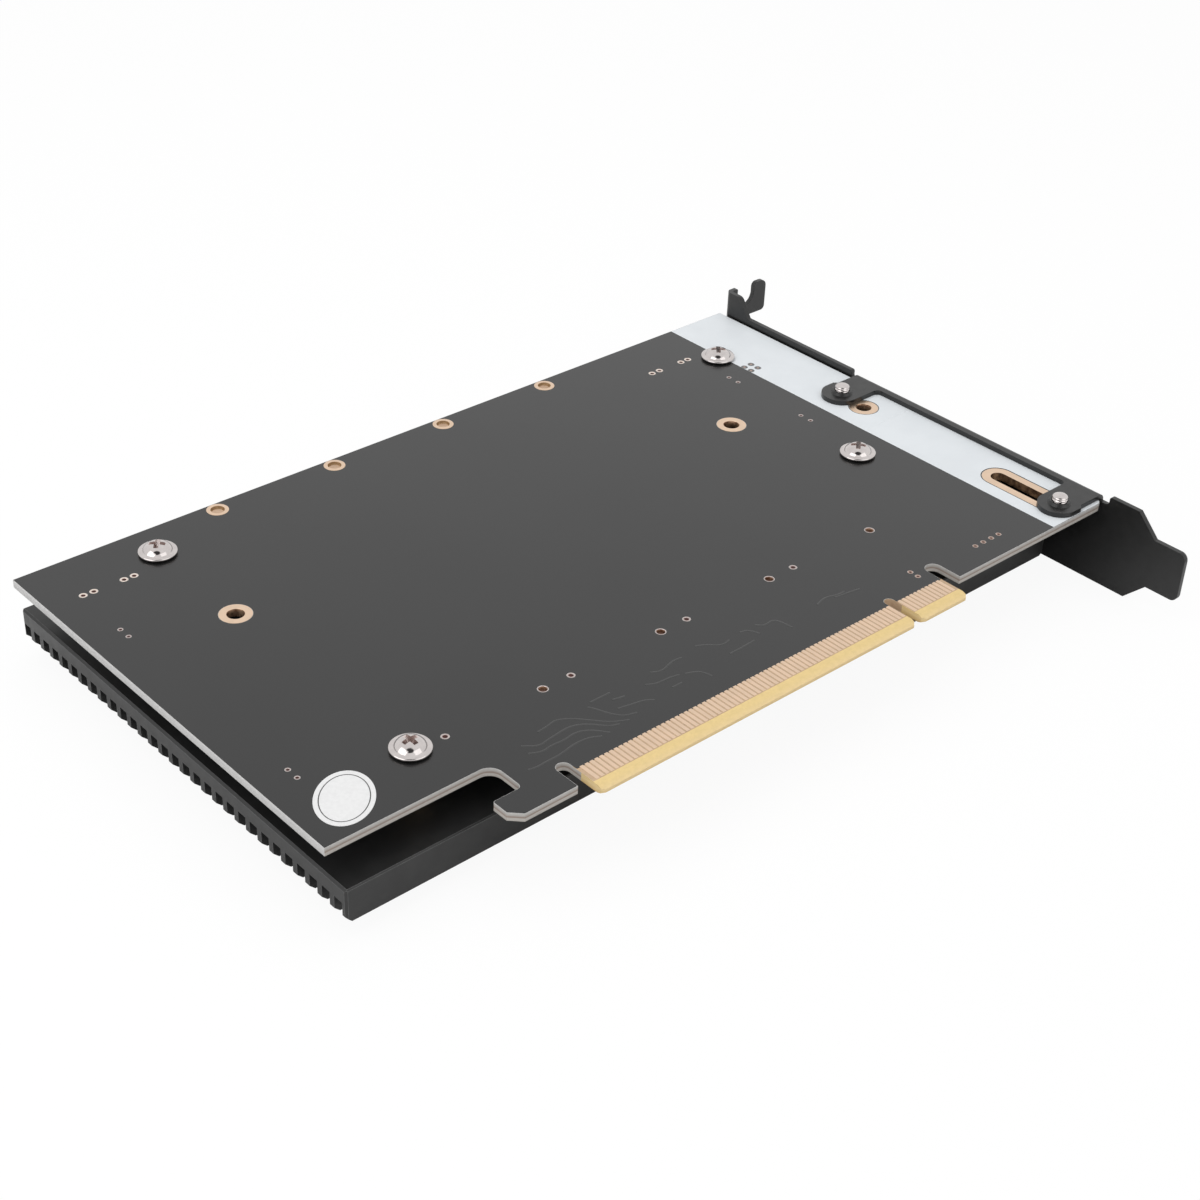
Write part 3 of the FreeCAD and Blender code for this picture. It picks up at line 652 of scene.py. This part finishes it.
def crossCutter(x, y, top, direction, turn):
    # a tapered cross, made apart and cut out of the head
    s = screw
    bm = bmesh.new()
    for arm in (0, 1):
        swing = Matrix.Rotation(math.radians(turn + 90 * arm), 2)
        bottom, upper = [], []
        for corner in squareCorners:
            for ring, level, reach, width in ((bottom, -s["crossDepth"], 0.42, 0.55), (upper, 0.4, 1.24, 1.15)):
                flat = swing @ Vector((corner[0] * s["crossArm"] * reach, corner[1] * s["crossHalf"] * width))
                ring.append(bm.verts.new((x + flat.x, y + flat.y, top + direction * level)))
        addStack(bm, [bottom, upper])
    # the recess walls take the cutter's darker nickel: painted shade
    return meshObject("crossCutter", bm, [recessNickelShade])


def cutWith(piece, cutter):
    change = piece.modifiers.new("recess", "BOOLEAN")
    change.operation = "DIFFERENCE"
    change.solver = "EXACT"
    change.use_self = True
    change.material_mode = "TRANSFER"
    change.object = cutter
    bpy.context.view_layer.update()
    shaped = bpy.data.meshes.new_from_object(piece.evaluated_get(bpy.context.evaluated_depsgraph_get()))
    piece.modifiers.clear()
    piece.data = shaped
    bpy.data.objects.remove(cutter)
    shaped.shade_smooth()
    shaped.set_sharp_from_angle(angle=math.radians(38))


def addThread(bm, x, y, low, high, radius, count=28):
    # a ridge that climbs one pitch in each turn, closed by flat ends
    pitch, depth = screw["threadPitch"], screw["threadDepth"]
    rows = int((high - low) / (pitch / 4))
    rings = []
    for row in range(rows + 1):
        z = low + (high - low) * row / rows
        ring = []
        for k in range(count):
            phase = (z / pitch - k / count) % 1.0
            reach = radius - depth * abs(2 * phase - 1)
            angle = 2 * math.pi * k / count
            ring.append(bm.verts.new((x + reach * math.cos(angle), y + reach * math.sin(angle), z)))
        rings.append(ring)
    addStack(bm, rings)


def makeFlangeScrew(number, x, y):
    seat = boardHalf
    bm = bmesh.new()
    addLathe(bm, [(0, seat)] + [(r, seat + h) for r, h in screw["head"]], x, y, 64)
    piece = finishPiece("heatsinkScrew%d" % number, bm, [brightNickel], smooth=38,
                        replaced=("heatsink_screws",))
    cutWith(piece, crossCutter(x, y, seat + screw["top"], 1, screw["turns"][number - 1]))
    bm = bmesh.new()
    addThread(bm, x, y, -4.8, seat, screw["shank"])
    finishPiece("heatsinkScrewThread%d" % number, bm, [brightNickel], smooth=40)


tabScrew = {"tip": 3.6, "dome": 0.62, "headRadius": 2.8, "headSide": 0.9, "headHeight": 2.3, "headFullness": 0.7}


def domeProfile(radius, base, rise, power=1.0, steps=8):
    turns = [k / steps * math.pi / 2 for k in range(1, steps)]
    return [(radius * math.cos(a) ** power, base + rise * math.sin(a)) for a in turns] + [(0, base + rise)]


def makeTabScrew(number, x, y):
    # the shank comes up through the tab, its head is under the board
    s = tabScrew
    shank, end = screw["shank"], s["tip"] - s["dome"]
    bm = bmesh.new()
    addThread(bm, x, y, -boardHalf, end - 0.1, shank)
    profile = [(0, end - 0.1), (shank - 0.16, end - 0.1), (shank - 0.04, end)]
    addLathe(bm, profile + domeProfile(shank - 0.04, end, s["dome"]), x, y, 40)
    finishPiece("tabScrewShank%d" % number, bm, [brightNickel], smooth=40)
    seat, wide = -boardHalf, s["headRadius"]
    profile = [(0, seat), (wide - 0.05, seat), (wide, seat - 0.15), (wide, seat - s["headSide"])]
    profile += domeProfile(wide, seat - s["headSide"], s["headSide"] - s["headHeight"], s["headFullness"])
    bm = bmesh.new()
    addLathe(bm, profile, x, y, 48)
    head = finishPiece("tabScrewHead%d" % number, bm, [brightNickel], smooth=38,
                       replaced=("bracket_screws",))
    cutWith(head, crossCutter(x, y, seat - s["headHeight"], -1, 20 * number))


for number, (x, y) in enumerate(heatsinkScrews, 1):
    makeFlangeScrew(number, x, y)
for number, (x, y) in enumerate(tabHoles, 1):
    makeTabScrew(number, x, y)
print("screws made")


brokenEdges = {"bracket": 0.14, "heatsink": 0.15, "heatsink_pillars": 0.18}


def softenedCopy(name, node, materials):
    # the node's own form with its sharp edges broken
    bm = bmesh.new()
    bm.from_mesh(nodes[node].data)
    bmesh.ops.remove_doubles(bm, verts=bm.verts, dist=0.002 * mm)
    bmesh.ops.dissolve_limit(bm, angle_limit=math.radians(0.6), verts=bm.verts, edges=bm.edges)
    sharp = [e for e in bm.edges if len(e.link_faces) == 2 and e.calc_face_angle(0) > math.radians(35)]
    for face in bm.faces:
        face.material_index = 0
    # the new edge faces take the last material, on the heatsink a painted highlight
    bmesh.ops.bevel(bm, geom=sharp, offset=brokenEdges[node] * mm, segments=2, profile=0.5, affect="EDGES",
                    clamp_overlap=True, material=len(materials) - 1)
    bmesh.ops.scale(bm, vec=(1 / mm, 1 / mm, 1 / mm), verts=bm.verts)
    piece = finishPiece(name, bm, materials, smooth=42, replaced=(node,))
    flats = piece.modifiers.new("flatFaces", "WEIGHTED_NORMAL")
    flats.weight = 90
    flats.keep_sharp = True


softenedCopy("bracketSheet", "bracket", [blackPowder])
softenedCopy("heatsinkExtrusion", "heatsink", [blackAnodised, anodisedEdgeHighlight])
softenedCopy("heatsinkPillars", "heatsink_pillars", [bareBrass])
print("bracket, heatsink and pillars made")


standoff = {"ring": 2.05, "ringTop": 0.85, "recess": 1.25, "recessFloor": 0.05, "shank": 1.72, "body": 2.5,
            "bodyEnd": -3.25, "bore": 1.0, "boreFloor": -0.25}


def makeStandoff(number, x):
    s = standoff
    half = boardHalf
    ring, top, recess, floor = s["ring"], s["ringTop"], s["recess"], s["recessFloor"]
    shank, body, end, bore = s["shank"], s["body"], s["bodyEnd"], s["bore"]
    profile = [(0, floor), (recess * 0.55, floor + 0.03), (recess - 0.12, floor + 0.2, 1), (recess, floor + 0.4, 1),
               (recess + 0.02, top - 0.04, 1), (recess + 0.06, top), (ring - 0.08, top), (ring, top - 0.03),
               (ring, half - 0.01), (shank, half - 0.01), (shank, -half), (body - 0.05, -half), (body, -half - 0.08),
               (body, end + 0.15), (body - 0.15, end), (bore + 0.2, end), (bore, end + 0.2)]
    for depth in (0.5, 1.0):
        profile += [(bore - 0.12, end + depth), (bore, end + depth + 0.25)]
    profile += [(bore - 0.12, s["boreFloor"] - 0.2), (0, s["boreFloor"])]
    bm = bmesh.new()
    addLathe(bm, profile, x, bays["standoffLine"], 48)
    finishPiece("driveStandoff%d" % number, bm, [goldPlate, dullBrass], smooth=35,
                replaced=("drive_standoff_%d" % number,))


for number, x in enumerate(bays["centres"], 1):
    makeStandoff(number, x)
print("standoffs made")


socket = {
    "halfWidth": 10.95, "back": 20.6, "backRise": 0.9, "backSlope": 1.3, "front": 29.3, "low": -5.0,
    "mouthHalf": 10.0, "mouthLow": -4.125, "mouthHigh": -3.175, "mouthDepth": 5.2, "mouthFlare": 0.5,
    "pitch": 0.5, "perRow": 36, "keyFrom": 24, "keyTo": 28, "halfKey": 0.55, "contactFrom": 4.6, "contactTo": 0.7,
    "smallPeg": 0.42, "smallPegTop": 0.10, "largePeg": 0.74, "largePegTop": 0.35,
}


def makeSocket(number, x):
    s = socket
    top, wide, low, back, front = -boardHalf, s["halfWidth"], s["low"], s["back"], s["front"]
    mouthLow, mouthHigh, floor = s["mouthLow"], s["mouthHigh"], front - s["mouthDepth"]
    inner = (s["mouthHalf"] - 0.15, mouthLow + 0.1, mouthHigh - 0.1)
    bm = bmesh.new()
    rings = []
    for y, reach, under, over in ((back, wide, low + s["backRise"], top), (back + s["backSlope"], wide, low, top),
                                  (front, wide, low, top), (front, s["mouthHalf"], mouthLow, mouthHigh),
                                  (front - s["mouthFlare"], *inner), (floor, *inner)):
        corners = ((-reach, under), (reach, under), (reach, over), (-reach, over))
        rings.append([bm.verts.new((x + across, y, z)) for across, z in corners])
    addStack(bm, rings)
    keyX = x - s["perRow"] / 4 + (s["keyFrom"] + s["keyTo"]) / 4
    addBlock(bm, keyX - s["halfKey"], keyX + s["halfKey"], floor + 0.2, front - 0.6, mouthLow + 0.05,
             mouthHigh - 0.05)
    finishPiece("driveSocket%d" % number, bm, [blackResin], bevel=0.06,
                replaced=("drive_socket_%d" % number,))
    # spring contacts in the mouth, and the feet behind the body
    bm = bmesh.new()
    near, far = front - s["contactFrom"], front - s["contactTo"]
    for k in range(s["perRow"] + 1):
        at = x + (k - s["perRow"] / 2) * s["pitch"]
        addBlock(bm, at - 0.11, at + 0.11, back - 0.95, back + 0.1, top - 0.16, top - 0.01, index=1)
        if not s["keyFrom"] <= k <= s["keyTo"]:
            addBlock(bm, at - 0.10, at + 0.10, near, far, mouthLow + 0.08, mouthLow + 0.24)
            addBlock(bm, at + 0.15, at + 0.35, near, far, mouthHigh - 0.24, mouthHigh - 0.08)
    for side in (-1, 1):
        edge = x + side * wide
        addBlock(bm, edge, edge + side * 0.5, back + 2.2, back + 4.4, top - 0.22, top - 0.01, index=1)
    finishPiece("driveSocketContacts%d" % number, bm, [goldPlate, tinned], bevel=0.03)
    bm = bmesh.new()
    for side, radius, end in ((-1, s["smallPeg"], s["smallPegTop"]), (1, s["largePeg"], s["largePegTop"])):
        addLathe(bm, [(0, top - 0.05), (radius, top - 0.05), (radius, end - 0.12), (radius - 0.12, end), (0, end)],
                 x + side * bays["pegReach"], bays["socketLine"], 24)
    finishPiece("driveSocketPegs%d" % number, bm, [brownResin], smooth=35)


for number, x in enumerate(bays["centres"], 1):
    makeSocket(number, x)
print("sockets made")


# parts under the heatsink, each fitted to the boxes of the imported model's solids
def middleOf(low, high):
    return (low + high) / 2, (high - low) / 2


def addSolderFoot(bm, x0, x1, y0, y1, height):
    addBlock(bm, x0, x1, y0, y1, -boardHalf - height, -boardHalf - 0.005, index=1)


inductor = {"inset": 0.15, "corner": 0.8, "halfTerminal": 1.7, "terminalUnder": 0.9, "terminalUp": 1.5}


def makeInductors():
    # pressed coil blocks with a folded terminal at each side
    s = inductor
    bm = bmesh.new()
    for (x0, x1), (y0, y1), (z0, z1) in islandBoxes("power_inductors"):
        x, y, half = (x0 + x1) / 2, (y0 + y1) / 2, (x1 - x0) / 2 - s["inset"]
        addPlate(bm, rectangleLoop(x - half, x + half, y - half, y + half, s["corner"]), [], z0, z1 - 0.1)
        low, high = y - s["halfTerminal"], y + s["halfTerminal"]
        for side in (-1, 1):
            outer = x + side * (half + s["inset"])
            addSolderFoot(bm, x + side * (half - s["terminalUnder"]), outer, low, high, 0.14)
            addBlock(bm, x + side * half, outer, low, high, z1 - s["terminalUp"], z1 - 0.1, index=1)
    finishPiece("powerInductors", bm, [pressedPowder, tinned], bevel=0.12,
                replaced=("power_inductors",))


chip = {"padLength": 0.4, "padHeight": 0.22, "endGap": 0.7, "dotIn": 0.55, "dot": 0.16}


def makeChips(name, node, pads, padWidth):
    # flat resin packages with a row of pads along each side and a pin dot
    s = chip
    bm = bmesh.new()
    for (x0, x1), (y0, y1), (z0, z1) in islandBoxes(node):
        (x, halfX), (y, halfY) = middleOf(x0, x1), middleOf(y0, y1)
        addBlock(bm, x0 + 0.04, x1 - 0.04, y0 + 0.04, y1 - 0.04, z0, z1 - 0.03)
        for k in range(pads):
            off = (k - (pads - 1) / 2) * (x1 - x0 - s["endGap"]) / pads
            ends = (off - padWidth / 2, off + padWidth / 2)
            for side in (-1, 1):
                edge, inner = x + side * halfX, x + side * (halfX - s["padLength"])
                addSolderFoot(bm, edge, inner, y + ends[0], y + ends[1], s["padHeight"])
                edge, inner = y + side * halfY, y + side * (halfY - s["padLength"])
                addSolderFoot(bm, x + ends[0], x + ends[1], edge, inner, s["padHeight"])
        low, high, dot = z0 - 0.005, z0 + 0.01, s["dot"]
        addLathe(bm, [(0, low), (dot, low), (dot + 0.02, high), (0, high)], x0 + s["dotIn"], y0 + s["dotIn"], 20,
                 index=2)
    finishPiece(name, bm, [blackResin, tinned, greyResin], bevel=0.03, replaced=(node,))


bulk = {"mouldLine": 0.04, "endInset": 0.22, "lineInset": 0.10, "halfTerminal": 1.2, "terminalUnder": 1.3}


def makeBulkCapacitors():
    # moulded blocks, widest at the mould line, with a bar at one end
    s = bulk
    bm = bmesh.new()
    for (x0, x1), (y0, y1), (z0, z1) in islandBoxes("bulk_capacitors"):
        (x, halfX), (y, halfY), middle = middleOf(x0, x1), middleOf(y0, y1), (z0 + z1) / 2
        rings = []
        for z, inset in ((z0, s["endInset"]), (middle - s["mouldLine"], s["lineInset"]),
                         (middle + s["mouldLine"], s["lineInset"]), (z1 - 0.1, s["endInset"] - 0.02)):
            rings.append([bm.verts.new((x + a * (halfX - inset), y + b * (halfY - inset), z))
                          for a, b in squareCorners])
        addStack(bm, rings)
        left, right = x - s["halfTerminal"], x + s["halfTerminal"]
        for side in (-1, 1):
            outer = y + side * halfY
            addBlock(bm, left, right, y + side * (halfY - 0.12), outer, middle - 0.1, z1 - 0.06, index=1)
            addSolderFoot(bm, left, right, y + side * (halfY - s["terminalUnder"]), outer, 0.12)
        addBlock(bm, x0 + 0.3, x1 - 0.3, y1 - 1.5, y1 - 0.75, z0 - 0.012, z0 + 0.01, index=2)
    finishPiece("bulkCapacitors", bm, [blackResin, tinned, greyResin], bevel=0.05,
                replaced=("bulk_capacitors",))


def makeSmallParts(name, node, middleMaterial, cap, bevel):
    # small two-ended parts: a body between two tinned ends, along the longer side
    bm = bmesh.new()
    for spanX, spanY, (z0, z1) in islandBoxes(node):
        alongY = spanY[1] - spanY[0] > spanX[1] - spanX[0]
        (start, end), (left, right) = (spanY, spanX) if alongY else (spanX, spanY)
        for a, b, inset, index in ((start + cap / 2, end - cap / 2, 0.02, 0), (start, start + cap, 0, 1),
                                   (end - cap, end, 0, 1)):
            across, along = (left + inset, right - inset), (a, b)
            first, second = (across, along) if alongY else (along, across)
            addBlock(bm, *first, *second, z0 + inset, z1 - 0.005, index=index)
    finishPiece(name, bm, [middleMaterial, tinned], bevel=bevel, replaced=(node,))


pad = {"corner": 1.0, "faceInset": 0.30, "edgeInset": 0.10, "edgeHeight": 0.08}


def makeThermalPads():
    s = pad
    for number in range(1, len(bays["centres"]) + 1):
        node = "thermal_pad_%d" % number
        (x0, x1), (y0, y1), (z0, z1) = islandBoxes(node)[0]
        bm = bmesh.new()
        rings = []
        for z, inset in ((z0, s["faceInset"]), (z0 + s["edgeHeight"], s["edgeInset"]), ((z0 + z1) / 2, 0.0),
                         (z1 - s["edgeHeight"], s["edgeInset"]), (z1, s["faceInset"])):
            loop = rectangleLoop(x0 + inset, x1 - inset, y0 + inset, y1 - inset, s["corner"])
            rings.append([bm.verts.new((p.x, p.y, z)) for p in loop])
        addStack(bm, rings)
        finishPiece("thermalPad%d" % number, bm, [softPad], smooth=60, replaced=(node,))


makeInductors()
makeChips("powerRegulators", "power_regulators", 5, 0.3)
makeChips("clockChip", "clock_chip", 8, 0.25)
makeBulkCapacitors()
makeSmallParts("couplingCapacitors", "coupling_capacitors", ceramicBody, 0.25, 0.04)
makeSmallParts("smoothingCapacitors", "smoothing_capacitors", ceramicBody, 0.45, 0.06)
makeSmallParts("indicatorLamps", "indicator_lamps", lampLens, 0.3, 0.05)
makeThermalPads()
print("parts under the heatsink made")


label = {"centre": (-104.1, 22.7), "long": 6.6, "short": 4.7, "angle": 47.0, "paper": 0.08, "ring": 0.86,
         "line": 0.17}


def ellipseLoop(long, short, count=72):
    turn = Matrix.Rotation(math.radians(label["angle"]), 2)
    return [Vector(label["centre"]) + turn @ Vector((p.x * long, p.y * short)) for p in circleLoop(0, 0, 1, count)]


def makeLabel():
    # an oval paper sticker with a printed ring
    s = label
    top = boardHalf + s["paper"]
    bm = bmesh.new()
    addPlate(bm, ellipseLoop(s["long"], s["short"]), [], boardHalf, top)
    finishPiece("inspectionLabel", bm, [labelPaper], bevel=0.02, replaced=("inspection_label",))
    bm = bmesh.new()
    long, short = s["long"] * s["ring"], s["short"] * s["ring"] - 0.1
    hole = ellipseLoop(long - s["line"], short - s["line"])
    addPlate(bm, ellipseLoop(long, short), [hole], top - 0.005, top + 0.008)
    finishPiece("labelRing", bm, [darkInk])


makeLabel()
print("label made")


# floor, light and camera
def raysOf(tree, kinds, amount=1.0):
    # the amount for the kinds of ray named, 0 for the rest
    path = nodeOf(tree, "ShaderNodeLightPath")
    total = path.outputs[kinds[0]]
    for kind in kinds[1:]:
        total = nodeOf(tree, "ShaderNodeMath", {0: total, 1: path.outputs[kind]}, operation="MAXIMUM").outputs[0]
    return nodeOf(tree, "ShaderNodeMath", {0: total, 1: amount}, operation="MULTIPLY").outputs[0]


def blendOf(tree, share, first, second):
    return nodeOf(tree, "ShaderNodeMixShader", {"Fac": share, 1: first, 2: second}).outputs["Shader"]


studio = {"floorSize": 3.0, "floorWhite": 0.93, "ambient": 0.55,
          "gapToward": (-0.36, -0.385, 0.85), "gapSpread": (0.915, 0.955), "gapLevel": 0.06}


def makeStage():
    low, size = cadBox[0][2], studio["floorSize"]
    mesh = bpy.data.meshes.new("floor")
    mesh.from_pydata([(size * a, size * b, low) for a, b in squareCorners], [], [(0, 1, 2, 3)])
    floor = addObject("floor", mesh)
    material, tree, plain = newMaterial("paleFloor")
    fill(plain, {"Base Color": (0.9, 0.9, 0.9, 1), "Roughness": 0.9, "Specular IOR Level": 0.0})
    glow = nodeOf(tree, "ShaderNodeEmission").outputs["Emission"]
    seen = raysOf(tree, ["Is Camera Ray"], studio["floorWhite"])
    fill(tree.nodes["Material Output"], {"Surface": blendOf(tree, seen, plain.outputs["BSDF"], glow)})
    mesh.materials.append(material)


def makeWorld():
    # even light all round; gloss also meets a dark patch high on the camera's side
    world = bpy.data.worlds.new("studio")
    bpy.context.scene.world = world
    world.use_nodes = True
    tree = world.node_tree
    ambient = tree.nodes["Background"]
    skies = [ambient, nodeOf(tree, "ShaderNodeBackground"), nodeOf(tree, "ShaderNodeBackground")]
    for sky, level in zip(skies, (studio["ambient"], 1.0, studio["gapLevel"])):
        fill(sky, {"Color": (1, 1, 1, 1), "Strength": level})
    even, white, dark = [sky.outputs["Background"] for sky in skies]
    where = nodeOf(tree, "ShaderNodeTexCoord").outputs["Generated"]
    toward = nodeOf(tree, "ShaderNodeVectorMath", {0: where, 1: Vector(studio["gapToward"]).normalized()},
                    operation="DOT_PRODUCT").outputs["Value"]
    low, high = studio["gapSpread"]
    patch = nodeOf(tree, "ShaderNodeMapRange", {"Value": toward, "From Min": low, "From Max": high},
                   interpolation_type="SMOOTHSTEP").outputs["Result"]
    inGap = nodeOf(tree, "ShaderNodeMath", {0: raysOf(tree, ["Is Glossy Ray"]), 1: patch}, operation="MULTIPLY")
    seen = blendOf(tree, inGap.outputs["Value"], white, dark)
    direct = raysOf(tree, ["Is Camera Ray", "Is Glossy Ray", "Is Transmission Ray"])
    fill(tree.nodes["World Output"], {"Surface": blendOf(tree, direct, even, seen)})


lamps = {
    "overhead": {"place": (-60, 120, 520), "aim": (-30, 50, 0), "size": 600, "power": 1.75, "inGloss": False},
    "leftFill": {"place": (-500, 60, 250), "aim": (-60, 40, 0), "size": 480, "power": 0.80, "inGloss": True},
    "nearFill": {"place": (60, -460, 280), "aim": (-20, 40, 0), "size": 480, "power": 0.42, "inGloss": True},
}


def makeLamps():
    for name, lamp in lamps.items():
        data = bpy.data.lights.new(name, "AREA")
        data.shape = "SQUARE"
        data.size = lamp["size"] * mm
        data.energy = lamp["power"]
        light = addObject(name, data)
        light.location = Vector(lamp["place"]) * mm
        light.rotation_euler = (Vector(lamp["aim"]) - Vector(lamp["place"])).to_track_quat("-Z", "Y").to_euler()
        light.visible_camera = False
        light.visible_glossy = lamp["inGloss"]


view = {"place": (-243.41, -180.19, 198.93), "ahead": (0.5596, 0.61835, -0.5518), "up": (0.34604, 0.43066, 0.83354),
        "lens": 62.90, "sensor": 36.0, "shift": 0.024}


def makeCamera():
    data = bpy.data.cameras.new("camera")
    data.sensor_width = view["sensor"]
    data.lens = view["lens"]
    data.shift_x = view["shift"]
    data.clip_start = 0.01
    camera = addObject("camera", data)
    ahead = Vector(view["ahead"]).normalized()
    right = ahead.cross(Vector(view["up"])).normalized()
    up = right.cross(ahead)
    pose = Matrix((right, up, -ahead)).transposed().to_4x4()
    pose.translation = Vector(view["place"]) * mm
    camera.matrix_world = pose
    bpy.context.scene.camera = camera


makeStage()
makeWorld()
makeLamps()
makeCamera()
bpy.context.scene.view_settings.view_transform = "Standard"
print("stage, light and camera set")

bpy.context.view_layer.update()
